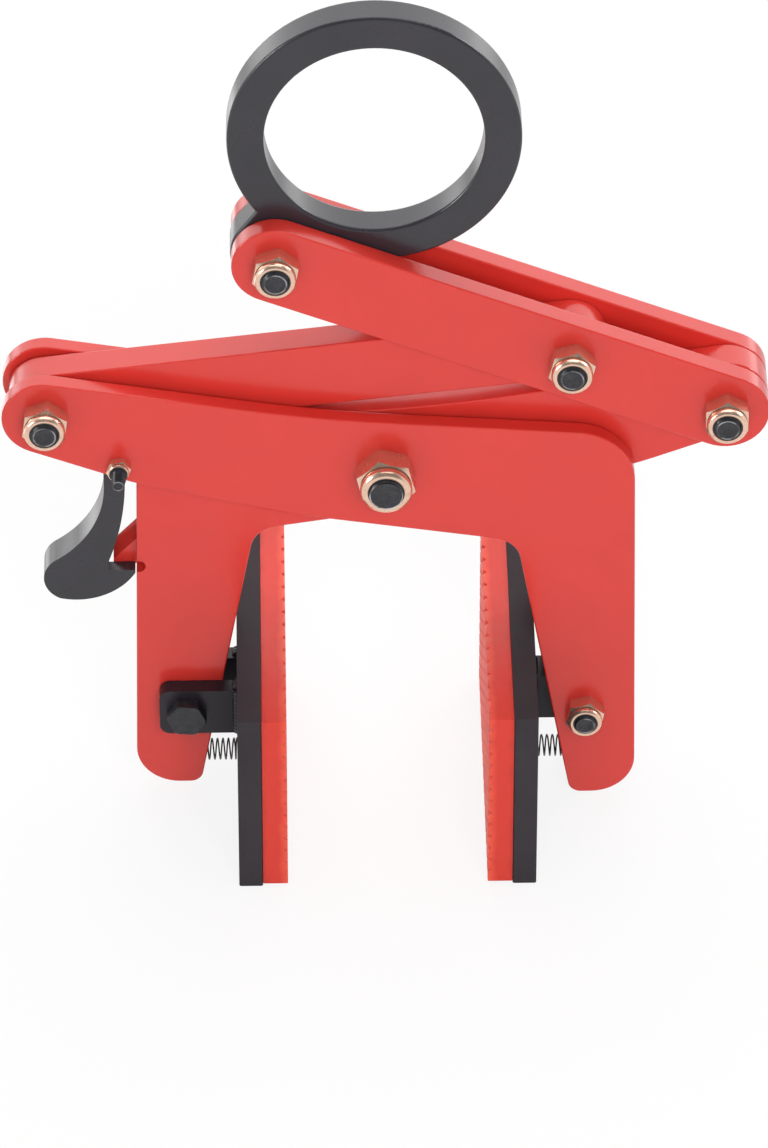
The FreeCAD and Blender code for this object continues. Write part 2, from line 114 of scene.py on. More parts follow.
def join_rings(shape, first, second):
    count = len(first)
    for index in range(count):
        follow = (index + 1) % count
        shape.faces.new((first[index], first[follow], second[follow], second[index]))


# Materials

NOISE_LOW, NOISE_HIGH = 0.3, 0.7    # the part of a noise's range that is put to use
PAINTED_HIGHLIGHT_MARK = "painted_highlight"                  # mesh attribute for where a painted highlight goes
PEEL_HEIGHT = 0.3 * MM
# Rubber tint across its thickness: paler at the grip face as rubbed wear with painted light, darker
# towards the plate as painted shade
RUBBER_GRIP_REACH = 46.0 * MM       # from the middle of the tongs
RUBBER_THICKNESS = 11.5 * MM
RUBBER_WEAR_AND_SHADE_UNEVEN = 5.0 * MM
RUBBER_WORN_AND_LIT_SHARE = 0.35            # of the thickness, from the grip face
RUBBER_PAINTED_SHADE_SHARE = 0.8
RUBBER_GRAIN_HEIGHT = 0.2 * MM
ZINC_METALLIC = 0.86
ZINC_TINTS = [
    (0.30, (0.73, 0.45, 0.33)),
    (0.45, (0.82, 0.56, 0.43)),
    (0.58, (0.75, 0.53, 0.39)),
    (0.72, (0.84, 0.53, 0.44)),
]
METAL_GRAIN_HEIGHT = 0.1 * MM


def new_material(name):
    made = bpy.data.materials.new(name)
    made.use_nodes = True
    tree = made.node_tree
    return made, tree, tree.nodes["Principled BSDF"]


def add_node(tree, kind, **settings):
    made = tree.nodes.new(kind)
    for key, value in settings.items():
        setattr(made, key, value)
    return made


def noise(tree, scale, detail=3.0, roughness=0.5, stretch=None):
    """Noise in the object's own frame; scale is in features per metre."""
    place = add_node(tree, "ShaderNodeTexCoord").outputs["Object"]
    if stretch is not None:
        mapping = add_node(tree, "ShaderNodeMapping")
        mapping.inputs["Scale"].default_value = stretch
        tree.links.new(place, mapping.inputs["Vector"])
        place = mapping.outputs["Vector"]
    made = add_node(tree, "ShaderNodeTexNoise")
    made.inputs["Scale"].default_value = scale
    made.inputs["Detail"].default_value = detail
    made.inputs["Roughness"].default_value = roughness
    tree.links.new(place, made.inputs["Vector"])
    return made.outputs["Fac"]


def ramp(tree, source, stops):
    """Colours or grey values against a 0 to 1 source."""
    made = add_node(tree, "ShaderNodeValToRGB")
    elements = made.color_ramp.elements
    while len(elements) < len(stops):
        elements.new(0.5)
    for element, (place, value) in zip(elements, stops):
        colour = value if isinstance(value, tuple) else (value, value, value)
        element.position = place
        element.color = (*colour, 1.0)
    tree.links.new(source, made.inputs["Fac"])
    return made.outputs["Color"]


def uneven_gloss(tree, shader, source, least, most):
    """Roughness that wanders between two values."""
    values = ramp(tree, source, [(NOISE_LOW, least), (NOISE_HIGH, most)])
    tree.links.new(values, shader.inputs["Roughness"])


def bump(tree, shader, source, strength, height):
    made = add_node(tree, "ShaderNodeBump")
    made.inputs["Strength"].default_value = strength
    made.inputs["Distance"].default_value = height
    tree.links.new(source, made.inputs["Height"])
    tree.links.new(made.outputs["Normal"], shader.inputs["Normal"])


def shaded(colour, factor):
    return tuple(min(1.0, channel * factor) for channel in colour)


def powder_coat(name, colour, roughness, spread, peel, shine=0.5):
    """Powder coat: slight mottling, uneven gloss and an orange-peel surface."""
    made, tree, shader = new_material(name)
    dark, pale = shaded(colour, 1 - spread), shaded(colour, 1 + spread)
    mottle = noise(tree, scale=28.0, detail=4.0, roughness=0.55)
    tint = ramp(tree, mottle, [(0.32, dark), (0.5, colour), (0.68, pale)])
    tree.links.new(tint, shader.inputs["Base Color"])
    cloud = noise(tree, scale=45.0, detail=1.0)
    uneven_gloss(tree, shader, cloud, least=roughness - 0.03, most=roughness + 0.04)
    bump(tree, shader, noise(tree, scale=240.0, detail=2.0), strength=peel, height=PEEL_HEIGHT)
    shader.inputs["Specular IOR Level"].default_value = shine
    return made


def moulded_rubber(name, colour, lit_and_worn, shine):
    """Rubber paler at its grip face, nearer the middle, as rubbed wear with painted light, and
    darker at its plate as painted shade.
    """
    made, tree, shader = new_material(name)
    place = add_node(tree, "ShaderNodeTexCoord")
    axes = add_node(tree, "ShaderNodeSeparateXYZ")
    tree.links.new(place.outputs["Object"], axes.inputs["Vector"])
    reach = add_node(tree, "ShaderNodeMath", operation="ABSOLUTE")
    tree.links.new(axes.outputs["X"], reach.inputs[0])
    uneven = add_node(tree, "ShaderNodeMath", operation="MULTIPLY_ADD")
    tree.links.new(noise(tree, scale=90.0, detail=4.0, roughness=0.6), uneven.inputs[0])
    uneven.inputs[1].default_value = RUBBER_WEAR_AND_SHADE_UNEVEN
    tree.links.new(reach.outputs[0], uneven.inputs[2])
    grip = RUBBER_GRIP_REACH + RUBBER_WEAR_AND_SHADE_UNEVEN / 2
    depth = add_node(tree, "ShaderNodeMapRange")
    depth.inputs["From Min"].default_value = grip
    depth.inputs["From Max"].default_value = grip + RUBBER_THICKNESS
    tree.links.new(uneven.outputs[0], depth.inputs["Value"])
    # Painted shade: darker towards the plate; the paler grip side is rubbed wear with painted light
    dark = shaded(colour, 0.8)
    stops = [(0.0, lit_and_worn), (RUBBER_WORN_AND_LIT_SHARE, colour), (RUBBER_PAINTED_SHADE_SHARE, colour), (1.0, dark)]
    tint = ramp(tree, depth.outputs["Result"], stops)
    tree.links.new(tint, shader.inputs["Base Color"])
    uneven_gloss(tree, shader, noise(tree, scale=160.0), least=0.34, most=0.50)
    bump(tree, shader, noise(tree, scale=300.0), strength=0.12, height=RUBBER_GRAIN_HEIGHT)
    shader.inputs["Specular IOR Level"].default_value = shine
    return made


def yellow_zinc(name):
    """Yellow passivated zinc: gold, with faint pink patches."""
    made, tree, shader = new_material(name)
    tint = ramp(tree, noise(tree, scale=190.0, roughness=0.6), ZINC_TINTS)
    tree.links.new(tint, shader.inputs["Base Color"])
    shader.inputs["Metallic"].default_value = ZINC_METALLIC
    uneven_gloss(tree, shader, noise(tree, scale=120.0), least=0.17, most=0.28)
    return made


def dark_metal(name, colour, roughness, metallic, lit_and_worn=None):
    """Dull and dark, with paler rubbed patches, and a pale painted highlight where the mesh is
    marked.
    """
    made, tree, shader = new_material(name)
    dark, pale = shaded(colour, 0.75), shaded(colour, 1.7)
    rubbed = noise(tree, scale=330.0, detail=4.0, roughness=0.6)
    tint = ramp(tree, rubbed, [(0.35, dark), (0.55, colour), (0.75, pale)])
    # Painted highlight: a pale colour, in broken patches, where the mesh is marked
    if lit_and_worn is not None:
        mark = add_node(tree, "ShaderNodeAttribute", attribute_name=PAINTED_HIGHLIGHT_MARK)
        patches = ramp(tree, noise(tree, scale=210.0, detail=2.0), [(0.40, 0.1), (0.60, 1.0)])
        broken = add_node(tree, "ShaderNodeMath", operation="MULTIPLY")
        tree.links.new(mark.outputs["Fac"], broken.inputs[0])
        tree.links.new(patches, broken.inputs[1])
        mix = add_node(tree, "ShaderNodeMix", data_type="RGBA")
        tree.links.new(broken.outputs[0], mix.inputs["Factor"])
        tree.links.new(tint, mix.inputs["A"])
        mix.inputs["B"].default_value = (*lit_and_worn, 1.0)
        tint = mix.outputs["Result"]
    tree.links.new(tint, shader.inputs["Base Color"])
    shader.inputs["Metallic"].default_value = metallic
    gloss = noise(tree, scale=500.0)
    uneven_gloss(tree, shader, gloss, least=roughness - 0.08, most=roughness + 0.10)
    grain = noise(tree, scale=1400.0, detail=2.0)
    bump(tree, shader, grain, strength=0.12, height=METAL_GRAIN_HEIGHT)
    return made


def bright_steel(name, colour):
    """Bright plated steel with fine streaks."""
    made, tree, shader = new_material(name)
    streaks = noise(tree, scale=260.0, stretch=(1.0, 1.0, 7.0))
    dark, pale = shaded(colour, 0.85), shaded(colour, 1.1)
    tint = ramp(tree, streaks, [(NOISE_LOW, dark), (NOISE_HIGH, pale)])
    tree.links.new(tint, shader.inputs["Base Color"])
    shader.inputs["Metallic"].default_value = 1.0
    uneven_gloss(tree, shader, streaks, least=0.28, most=0.42)
    bump(tree, shader, streaks, strength=0.08, height=METAL_GRAIN_HEIGHT)
    return made


MATERIALS = {
    "red_paint": powder_coat(
        "red_powder_coat", (0.68, 0.040, 0.030), roughness=0.22, spread=0.03, peel=0.025),
    "black_paint": powder_coat(
        "black_powder_coat", (0.026, 0.024, 0.030), roughness=0.27, spread=0.10, peel=0.06),
    # Copies of the black paint: a darker one for the pad lugs and welds as painted shade, a lighter
    # one with little reflection for the pad plates as painted light
    "lug_shaded_paint": powder_coat(
        "lug_shaded_black_coat", (0.022, 0.018, 0.024), roughness=0.33, spread=0.10, peel=0.06,
        shine=0.3),
    "plate_lit_paint": powder_coat(
        "plate_lit_black_coat", (0.047, 0.042, 0.047), roughness=0.45, spread=0.10, peel=0.06,
        shine=0.04),
    # Paler rubber at the grip face is rubbed wear with painted light; darker rubber at the back is
    # painted shade
    "red_rubber": moulded_rubber(
        "moulded_red_rubber", (0.66, 0.042, 0.026), lit_and_worn=(0.82, 0.100, 0.055), shine=0.32),
    "zinc_nut": yellow_zinc("yellow_zinc"),
    "nylon_insert": dark_metal(
        "black_nylon", (0.022, 0.022, 0.024), roughness=0.48, metallic=0.0),
    # The pale colour on the bolts is a painted highlight on the rims of their tips
    "black_bolt": dark_metal(
        "black_oxide", (0.026, 0.026, 0.031), roughness=0.32, metallic=0.2,
        lit_and_worn=(0.56, 0.56, 0.60)),
    "spring_steel": dark_metal(
        "oiled_spring_wire", (0.10, 0.098, 0.096), roughness=0.36, metallic=0.8),
    "washer_steel": bright_steel("bright_zinc", (0.62, 0.62, 0.63)),
}


def dress(piece, look):
    piece.data.materials.clear()
    piece.data.materials.append(MATERIALS[look])
    return piece


def dress_cad_nodes():
    """The slot's look for each CAD node, with duller lit and shaded copies of the black on the
    pads.
    """
    for entry in frame["record"]["subparts"]:
        node_name, look = entry["node"], entry["material_slot"]
        # Pad plates get the lighter copy of the black paint as painted light, the lugs the darker
        # copy as painted shade
        if look == "black_paint" and body_of(node_name) in ("left_pad", "right_pad"):
            look = "plate_lit_paint" if node_name.endswith("_plate") else "lug_shaded_paint"
        dress(frame["nodes"][node_name], look)


dress_cad_nodes()


# Fasteners

# Sizes in millimetres; lip is the width of the nut's lip over its insert
SIZES = {
    "M6": dict(diameter=6.0, pitch=1.0, flats=10.0, head=4.0, lip=0.45, tip_bevel=0.45),
    "M10": dict(diameter=10.0, pitch=1.5, flats=16.0, head=6.4, lip=0.60, tip_bevel=0.75),
    "M12": dict(diameter=12.0, pitch=1.75, flats=19.0, head=7.5, lip=0.85, tip_bevel=0.90),
    "M16": dict(diameter=16.0, pitch=2.0, flats=24.0, head=10.0, lip=0.15, tip_bevel=0.35),
}
# How strong the painted highlight on the rim of a bolt's tip is
TIP_PAINTED_HIGHLIGHT = {"M6": 0.45, "M10": 0.55, "M12": 0.55, "M16": 1.0}
# Size of each pivot's bolt, and the degrees that its hexagons are turned
PIVOTS = {
    "centre": ("M16", 44.0),
    "left_arm": ("M12", 22.0),
    "right_arm": ("M12", 30.0),
    "ring": ("M12", 20.0),
    "link": ("M12", 16.0),
    "left_pad": ("M10", 55.0),
    "right_pad": ("M10", 17.0),
    "latch": ("M6", 10.0),
}
NUT_AT_REAR = ("left_pad",)
ROUND_STEPS = 72
FASTENER_SMOOTH = 28                # degrees
BEVEL_SLOPE = math.tan(math.radians(30))
BEVEL_LEAST = 0.12 * MM

NUT_CROWN_SHARE = 0.97              # where the corner bevel starts, of the flats
NUT_BORE_CLEARANCE = 0.05 * MM
NUT_HEX_SHARE = 0.66                # of the nut's height
NUT_POCKET_SHARE = 0.70
NUT_GROOVE_RISE_SHARE = 0.07
NUT_COLLAR_SHARE = 0.985            # of the flats
NUT_COLLAR_FOOT_SHARE = 0.97        # of the collar
NUT_GROOVE_SHARE = 0.88
NUT_SHOULDER_SHARE = 0.42           # of the height above the hexagon
NUT_ROLL_SHARE = 0.62               # of the collar's width
NUT_ROLL_STEPS = 8
LIP_THICKNESS = 0.32 * MM
LIP_EDGE = 0.25 * MM
LIP_EDGE_DROP = 0.06 * MM
LIP_DROP = 0.2 * MM
INSERT_WIDTH = 1.25 * MM

HEAD_CROWN_SHARE = 1.07             # of the flats
HEAD_FACE_SHARES = (0.8, 0.2)       # rings across the head's face, of the flats
THREAD_DEPTH_SHARE = 0.55           # of the pitch
THREAD_LENGTH_SHARE = 2.2           # of the diameter
THREAD_ROWS = 8                     # to a pitch
TIP_RIM = 0.35 * MM                 # rim of a bolt's tip, which carries the painted highlight
TIP_RIM_END_SHARE = 1.6             # of the rim, where the painted highlight has faded
TIP_MARK_SHARE = 1.3                # of the rim, between its two rings
TIP_MARK_DEPTH = 0.1 * TIP_RIM
TIP_DISH_SHARES = (0.30, 0.24)      # of the diameter
TIP_DISH_DEPTH = 0.3 * MM


def hex_radius(angle, flats):
    """A hexagon's radius at an angle, with a corner at angle zero."""
    sector = math.pi / 3
    return flats / 2 / math.cos((angle % sector) - sector / 2)


def step_angle(index):
    return index * 2 * math.pi / ROUND_STEPS


def spokes(turn):
    """Directions round a pivot's axis, with one at each corner of a hexagon that is turned."""
    start = math.radians(turn)
    angles = [start + step_angle(index) for index in range(ROUND_STEPS)]
    return [Vector((math.cos(angle), 0, math.sin(angle))) for angle in angles]


def hex_block(shape, centre, facing, flats, height, crown_share, bore, turn):
    """A hexagon on the plane through centre, rising along facing, with bevelled corners."""
    crown = flats / 2 * crown_share
    rings = [[], [], [], []]
    for index, spoke in enumerate(spokes(turn)):
        reach = hex_radius(step_angle(index), flats)
        set_in = max(reach - crown, BEVEL_LEAST)
        rings[0].append(centre + spoke * bore)
        rings[1].append(centre + spoke * reach)
        rings[2].append(centre + spoke * reach + facing * (height - set_in * BEVEL_SLOPE))
        rings[3].append(centre + spoke * (reach - set_in) + facing * height)
    made = [ring_of(shape, points) for points in rings]
    for first, second in zip(made, made[1:]):
        join_rings(shape, first, second)
    return made[0], made[-1]


def turned(shape, centre, facing, profile, start, turn):
    """Turn a profile of (radius, rise) round the axis, going on from a ring that is there."""
    last = start
    for radius, rise in profile:
        points = [centre + spoke * radius + facing * rise for spoke in spokes(turn)]
        made = ring_of(shape, points)
        join_rings(shape, last, made)
        last = made
    return last


def fastener_place(pivot, low, high, inset=0.0):
    """Which way a pivot's fasteners face, and the point an inset in from the box's far side."""
    facing = Vector((0, 1 if pivot in NUT_AT_REAR else -1, 0))
    far_side = low.y if pivot in NUT_AT_REAR else high.y
    across, upward = (low.x + high.x) / 2, (low.z + high.z) / 2
    return facing, Vector((across, far_side + facing.y * inset, upward))


def fastener_sizes(pivot):
    size, turn = PIVOTS[pivot]
    return {key: value * MM for key, value in SIZES[size].items()}, turn


def lock_nut(pivot):
    """A lock nut with bevelled corners and a collar that is rolled over its insert."""
    node_name = pivot + "_nut"
    sizes, turn = fastener_sizes(pivot)
    radius, flats = sizes["diameter"] / 2, sizes["flats"]
    low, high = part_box(node_name)
    facing, centre = fastener_place(pivot, low, high)
    height = high.y - low.y
    bore = radius + NUT_BORE_CLEARANCE
    hex_height = NUT_HEX_SHARE * height
    collar = flats / 2 * NUT_COLLAR_SHARE
    groove = NUT_GROOVE_SHARE * collar
    groove_end = hex_height + NUT_GROOVE_RISE_SHARE * height
    shoulder = hex_height + NUT_SHOULDER_SHARE * (height - hex_height)
    lip = radius + sizes["lip"]
    lip_floor = height - LIP_THICKNESS
    pocket = radius + INSERT_WIDTH
    pocket_floor = NUT_POCKET_SHARE * height
    roll_width = NUT_ROLL_SHARE * (collar - lip)
    roll_height = height - shoulder

    def make(shape):
        inner, outer = hex_block(
            shape, centre, facing, flats, hex_height, NUT_CROWN_SHARE, bore, turn)
        profile = [(groove, hex_height), (groove, groove_end)]
        profile += [(NUT_COLLAR_FOOT_SHARE * collar, groove_end), (collar, shoulder)]
        for step in range(1, NUT_ROLL_STEPS + 1):
            angle = step * math.pi / (2 * NUT_ROLL_STEPS)
            inward = roll_width * (1 - math.cos(angle))
            profile.append((collar - inward, shoulder + roll_height * math.sin(angle)))
        profile += [(lip + LIP_EDGE, height - LIP_EDGE_DROP), (lip, height - LIP_DROP)]
        profile += [(lip, lip_floor), (pocket, lip_floor)]
        profile += [(pocket, pocket_floor), (bore, pocket_floor)]
        last = turned(shape, centre, facing, profile, outer, turn)
        join_rings(shape, last, inner)

    piece = piece_from("lock_nut_" + pivot, make, body_of(node_name), [node_name])
    smooth_by_angle(piece, FASTENER_SMOOTH)
    return dress(piece, "zinc_nut")


def threaded_bolt(pivot):
    """A hexagon-head bolt with a plain shank and a cut thread at its tip."""
    node_name = pivot + "_bolt"
    sizes, turn = fastener_sizes(pivot)
    diameter, pitch, flats = sizes["diameter"], sizes["pitch"], sizes["flats"]
    head, tip_bevel = sizes["head"], sizes["tip_bevel"]
    low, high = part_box(node_name)
    facing, centre = fastener_place(pivot, low, high, head)
    length = high.y - low.y - head
    threaded = THREAD_LENGTH_SHARE * diameter
    tip_radius = diameter / 2 - tip_bevel

    def thread_radius(along, angle):
        share = ((along / pitch) - angle / (2 * math.pi)) % 1.0
        cut = THREAD_DEPTH_SHARE * pitch * (1 - abs(2 * share - 1))
        run_in = min(1.0, max(0.0, (along - (length - threaded)) / pitch))
        limit = diameter / 2 - max(0.0, tip_bevel - (length - along))
        return min(limit, diameter / 2 - cut * run_in)

    def thread_rows():
        """Places along the bolt, from the thread's start to the tip."""
        count = int(THREAD_ROWS * threaded / pitch) + 1
        rows = [length - threaded + index * pitch / THREAD_ROWS for index in range(count)]
        return [along for along in rows if along < length - pitch / (2 * THREAD_ROWS)] + [length]

    def make(shape):
        inner, outer = hex_block(
            shape, centre, -facing, flats, head, HEAD_CROWN_SHARE, diameter / 2, turn)
        head_face = [(share * flats / 2, head) for share in HEAD_FACE_SHARES]
        shape.faces.new(turned(shape, centre, -facing, head_face, outer, turn))
        last = inner
        for along in thread_rows():
            points = []
            for index, spoke in enumerate(spokes(turn)):
                radius = thread_radius(along, step_angle(index))
                points.append(centre + spoke * radius + facing * along)
            made = ring_of(shape, points)
            join_rings(shape, last, made)
            last = made
        dish_rim, dish_floor = (share * diameter for share in TIP_DISH_SHARES)
        profile = [(tip_radius - TIP_RIM, length)]
        profile += [(tip_radius - TIP_RIM_END_SHARE * TIP_RIM, length), (dish_rim, length)]
        profile += [(dish_floor, length - TIP_DISH_DEPTH)]
        shape.faces.new(turned(shape, centre, facing, profile, last, turn))

    piece = piece_from("bolt_" + pivot, make, body_of(node_name), [node_name])
    smooth_by_angle(piece, FASTENER_SMOOTH)
    # Painted highlight: the rim of the tip is marked for a pale colour
    painted_highlight = TIP_PAINTED_HIGHLIGHT[PIVOTS[pivot][0]]
    mark = piece.data.attributes.new(PAINTED_HIGHLIGHT_MARK, "FLOAT", "POINT")
    for index, vertex in enumerate(piece.data.vertices):
        offset = vertex.co - centre
        on_end = offset.dot(facing) > length - TIP_MARK_DEPTH
        on_rim = math.hypot(offset.x, offset.z) > tip_radius - TIP_MARK_SHARE * TIP_RIM
        mark.data[index].value = painted_highlight if on_end and on_rim else 0.0
    return dress(piece, "black_bolt")


for pivot_name in PIVOTS:
    lock_nut(pivot_name)
    threaded_bolt(pivot_name)


# Pad rubber with crossed grooves

TOOTH_PITCH_Z = 7.0 * MM
TOOTH_PITCH_Y = 9.3 * MM
TOOTH_GROOVE = 2.8 * MM
TOOTH_DEPTH = 1.5 * MM
TOOTH_FLOOR_SHARE = 0.15            # half of a groove's floor, of its width
RUBBER_EDGE = 0.45 * MM
RUBBER_EDGE_SEGMENTS = 2
RUBBER_EDGE_ANGLE = 35              # degrees
RUBBER_SMOOTH = 50


def groove_lines(low, high, pitch):
    """Places and depths across a face: each groove has two rims and a floor."""
    count = int((high - low) // pitch)
    first = low + ((high - low) - (count - 1) * pitch) / 2
    rim, floor = TOOTH_GROOVE / 2, TOOTH_FLOOR_SHARE * TOOTH_GROOVE
    lines = [(low, 0.0)]
    for index in range(count):
        middle = first + index * pitch
        lines += [(middle - rim, 0.0), (middle - floor, TOOTH_DEPTH)]
        lines += [(middle + floor, TOOTH_DEPTH), (middle + rim, 0.0)]
    lines.append((high, 0.0))
    return lines


def pad_rubber(side):
    """A moulded rubber block, bonded to its plate, with teeth between crossed grooves."""
    name = SIDE_NAMES[side]
    node_name = name + "_pad_rubber"
    low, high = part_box(node_name)
    grip, back = (high.x, low.x) if side == LEFT else (low.x, high.x)
    across = groove_lines(low.y, high.y, TOOTH_PITCH_Y)
    upward = groove_lines(low.z, high.z, TOOTH_PITCH_Z)

    def make(shape):
        face = []
        for z, z_depth in upward:
            points = [(grip + side * max(y_depth, z_depth), y, z) for y, y_depth in across]
            face.append(ring_of(shape, points))
        for lower, upper in zip(face, face[1:]):
            for index in range(len(across) - 1):
                follow = index + 1
                shape.faces.new((lower[index], lower[follow], upper[follow], upper[index]))
        rim = face[0] + [row[-1] for row in face[1:]]
        rim += face[-1][-2::-1] + [row[0] for row in face[-2:0:-1]]
        rear = ring_of(shape, [(back, corner.co.y, corner.co.z) for corner in rim])
        join_rings(shape, rim, rear)
        shape.faces.new(rear)

    piece = piece_from(
        "toothed_rubber_" + name, make, body_of(node_name), [node_name])
    round_off = piece.modifiers.new("worn_edges", "BEVEL")
    round_off.width = RUBBER_EDGE
    round_off.segments = RUBBER_EDGE_SEGMENTS
    round_off.limit_method = "ANGLE"
    round_off.angle_limit = math.radians(RUBBER_EDGE_ANGLE)
    smooth_by_angle(piece, RUBBER_SMOOTH)
    return dress(piece, "red_rubber")


pad_rubber(LEFT)
pad_rubber(RIGHT)


# Pad springs

SPRING_HEIGHT = 20.0 * MM           # of the axis, above the floor
SPRING_WIRE = 0.75 * MM
SPRING_RADIUS = 4.85 * MM
SPRING_TURNS = 9.5
SPRING_CLOSED_TURNS = 0.9           # at each end
SPRING_CLOSED_SHARE = 1.15          # rise of a closed turn, of the wire
SPRING_STEPS = 32                   # to a turn
SPRING_HEADING_STEP = 0.002         # turns
WIRE_SIDES = 10
SPRING_SMOOTH = 60                  # degrees


def pad_spring(side):
    """A wire coil with closed ends, on a mesh of its own."""
    name = SIDE_NAMES[side]
    node_name = name + "_pad_spring"
    low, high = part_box(node_name)
    seat, start = (low.x, high.x) if side == LEFT else (high.x, low.x)
    length = abs(seat - start) - SPRING_WIRE
    stations = int(SPRING_TURNS * SPRING_STEPS)

    def advance(turns):
        """How far along the axis the wire is; the first and last turn lie almost closed."""
        closed = SPRING_CLOSED_TURNS
        open_turns = SPRING_TURNS - 2 * closed
        end_rise = SPRING_CLOSED_SHARE * SPRING_WIRE * closed
        open_rise = length - 2 * end_rise
        if turns < closed:
            return end_rise * turns / closed
        if turns > SPRING_TURNS - closed:
            return length - end_rise * (SPRING_TURNS - turns) / closed
        return end_rise + open_rise * (turns - closed) / open_turns

    def centre_at(turns):
        angle = 2 * math.pi * turns
        along = start + side * (SPRING_WIRE / 2 + advance(turns))
        across = SPRING_RADIUS * math.cos(angle)
        return Vector((along, across, SPRING_HEIGHT + SPRING_RADIUS * math.sin(angle)))

    def wire_ring(turns):
        """Points round the wire, square to where it heads."""
        here = centre_at(turns)
        ahead = centre_at(turns + SPRING_HEADING_STEP)
        behind = centre_at(turns - SPRING_HEADING_STEP)
        heading = (ahead - behind).normalized()
        out = Vector((0, here.y, here.z - SPRING_HEIGHT)).normalized()
        beside = heading.cross(out).normalized()
        out = beside.cross(heading)
        points = []
        for spoke in range(WIRE_SIDES):
            angle = 2 * math.pi * spoke / WIRE_SIDES
            away = out * math.cos(angle) + beside * math.sin(angle)
            points.append(here + away * (SPRING_WIRE / 2))
        return points

    def make(shape):
        rings = []
        for index in range(stations + 1):
            rings.append(ring_of(shape, wire_ring(SPRING_TURNS * index / stations)))
        shape.faces.new(rings[0])
        for first, second in zip(rings, rings[1:]):
            join_rings(shape, first, second)
        shape.faces.new(rings[-1])

    piece = piece_from("coil_" + name, make, body_of(node_name), [node_name])
    smooth_by_angle(piece, SPRING_SMOOTH)
    dress(piece, "spring_steel")
    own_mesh(piece)
    return piece


pad_spring(LEFT)
pad_spring(RIGHT)


# Weld beads behind the pads

WELD_RADIUS = 2.4 * MM
WELD_RIPPLE = 2.1 * MM
WELD_RIPPLES_LEAST = 3
WELD_RIPPLE_STEPS = 6
WELD_VALLEY_SHARE = 0.88            # of the radius
WELD_CREST_SHARE = 0.14             # added to the valley
WELD_END_POWER = 8                  # the higher, the blunter a bead's ends
WELD_END_LEAST = 0.02
WELD_SIDES = 14
WELD_INSET = 1.0 * MM
WELD_SMOOTH = 50                    # degrees
# Each lug, its body and side, and the faces that have an upright bead
LUGS = (
    ("left_pad_front_ear", "left_pad", LEFT, ("front",)),
    ("left_pad_rear_ear", "left_pad", LEFT, ("rear",)),
    ("right_pad_tongue", "right_pad", RIGHT, ("front", "rear")),
)


def weld_bead(name, start, end, body, lean):
    """A rippled bead in the corner between a lug and its pad plate."""
    run = end - start
    ripples = max(WELD_RIPPLES_LEAST, round(run.length / WELD_RIPPLE))
    steps = ripples * WELD_RIPPLE_STEPS
    beside = run.normalized().cross(lean).normalized()

    def bead_ring(index):
        share = index / steps
        wave = abs(math.sin(math.pi * index / WELD_RIPPLE_STEPS))
        taper = math.sqrt(max(WELD_END_LEAST, 1 - (2 * share - 1) ** WELD_END_POWER))
        size = WELD_RADIUS * (WELD_VALLEY_SHARE + WELD_CREST_SHARE * wave) * min(1.0, taper)
        points = []
        for spoke in range(WELD_SIDES):
            angle = 2 * math.pi * spoke / WELD_SIDES
            away = lean * math.cos(angle) + beside * math.sin(angle)
            points.append(start + run * share + away * size)
        return points

    def make(shape):
        rings = [ring_of(shape, bead_ring(index)) for index in range(steps + 1)]
        for first, second in zip(rings, rings[1:]):
            join_rings(shape, first, second)
        shape.faces.new(rings[0])
        shape.faces.new(rings[-1])

    piece = piece_from(name, make, body)
    smooth_by_angle(piece, WELD_SMOOTH)
    return dress(piece, "lug_shaded_paint")


def lug_welds():
    """Level beads over and under each lug, and upright beads on its faces."""
    for lug, body, side, faces in LUGS:
        low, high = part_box(lug)
        plate_x = high.x if side == LEFT else low.x
        out = Vector((side, 0, 0))
        for level, up, place in ((low.z, -1, "foot"), (high.z, 1, "top")):
            start = Vector((plate_x, low.y + WELD_INSET, level))
            end = Vector((plate_x, high.y - WELD_INSET, level))
            lean = (out + Vector((0, 0, up))).normalized()
            weld_bead("weld_%s_%s" % (lug, place), start, end, body, lean)
        for face in faces:
            depth, away = (low.y, -1) if face == "front" else (high.y, 1)
            start = Vector((plate_x, depth, low.z))
            end = Vector((plate_x, depth, high.z))
            lean = (out + Vector((0, away, 0))).normalized()
            weld_bead("weld_%s_%s" % (lug, face), start, end, body, lean)


lug_welds()


# Floor, light and camera

FLOOR_HALF = 6.0
FLOOR_DROP = 0.2 * MM
FLOOR_GREY = 0.93
FLOOR_ROUGHNESS = 0.9
FLOOR_WHITE_SHARE = 0.85            # of the floor's look to the camera; the rest shows shadows
AMBIENT_LEVEL = 0.37
ROOM_DIRECTION = (0.0, -0.64, 0.77)
ROOM_LEVEL = 0.2
ROOM_EDGE = (0.35, 0.75)            # from outside to inside, along the direction
LAMP_AIM = (0.0, 0.0, 0.2)
# Place and aim, width and height, watts, whether reflections show it and whether it lights
LAMPS = {
    "key": ((0.25, -2.45, 1.77), LAMP_AIM, (1.8, 1.4), 47.0, False, True),
    "top": ((0.15, 0.7, 2.35), LAMP_AIM, (2.2, 2.2), 27.0, True, True),
    "back_wall": ((0.0, 2.6, 1.10), LAMP_AIM, (6.2, 2.4), 48.0, True, True),
    "back_low": ((0.0, 1.4, 0.27), (0.0, 0.0, 0.27), (3.4, 0.5), 6.0, True, True),
    "bounce_left": ((-0.50, 0.44, 0.012), (-0.50, 0.44, 1.0), (0.45, 0.50), 1.2, True, True),
    "edge_left": ((-2.0, -0.7, 0.95), LAMP_AIM, (0.8, 0.8), 26.0, True, False),
    "edge_right": ((2.0, 0.9, 1.3), LAMP_AIM, (0.8, 0.8), 26.0, True, False),
}
